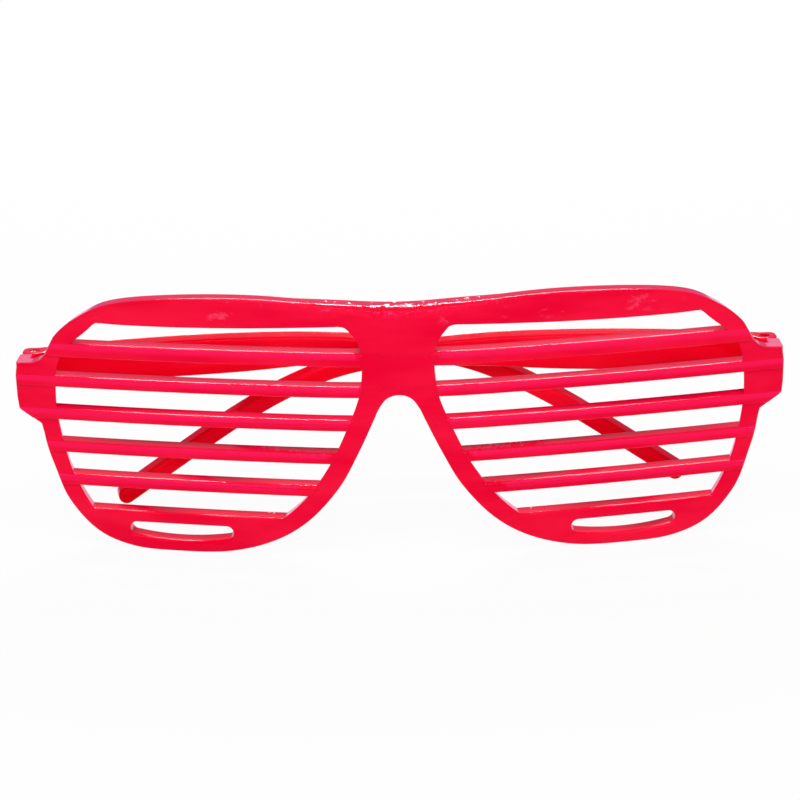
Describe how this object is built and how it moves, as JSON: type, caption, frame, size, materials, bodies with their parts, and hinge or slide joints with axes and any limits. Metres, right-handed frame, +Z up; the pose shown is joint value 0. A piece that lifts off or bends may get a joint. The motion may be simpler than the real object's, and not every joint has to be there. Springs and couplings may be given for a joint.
{
  "type": "party glasses",
  "caption": "Lensless party glasses: a one-piece slatted shutter front with two curved temples that fold on hinge pins.",
  "frame": {"origin": "middle of the width and of the folded depth, at the height of the feet of the rims", "axes": "+X to the wearer's left along the width, +Y backwards towards the wearer's face, +Z up; the front faces -Y"},
  "size_m": [0.15, 0.026, 0.0515],
  "materials": {
    "front_plastic": "glossy moulded plastic, pinkish red",
    "temple_plastic": "glossy moulded plastic, pinkish red",
    "pin_steel": "cut steel wire"
  },
  "bodies": {
    "front": {"front_frame": "front_plastic"},
    "temple_left": {"left_temple": "temple_plastic", "left_hinge_pin": "pin_steel"},
    "temple_right": {"right_temple": "temple_plastic", "right_hinge_pin": "pin_steel"}
  },
  "joints": [
    {"name": "left_hinge", "type": "hinge", "parent": "front", "child": "temple_left", "pos_m": [0.0724, 0.0105, 0.03315], "axis": [0, 0, -1], "range_deg": [0, 98.5]},
    {"name": "right_hinge", "type": "hinge", "parent": "front", "child": "temple_right", "pos_m": [-0.0724, 0.0105, 0.03315], "axis": [0, 0, 1], "range_deg": [0, 95]}
  ]
}
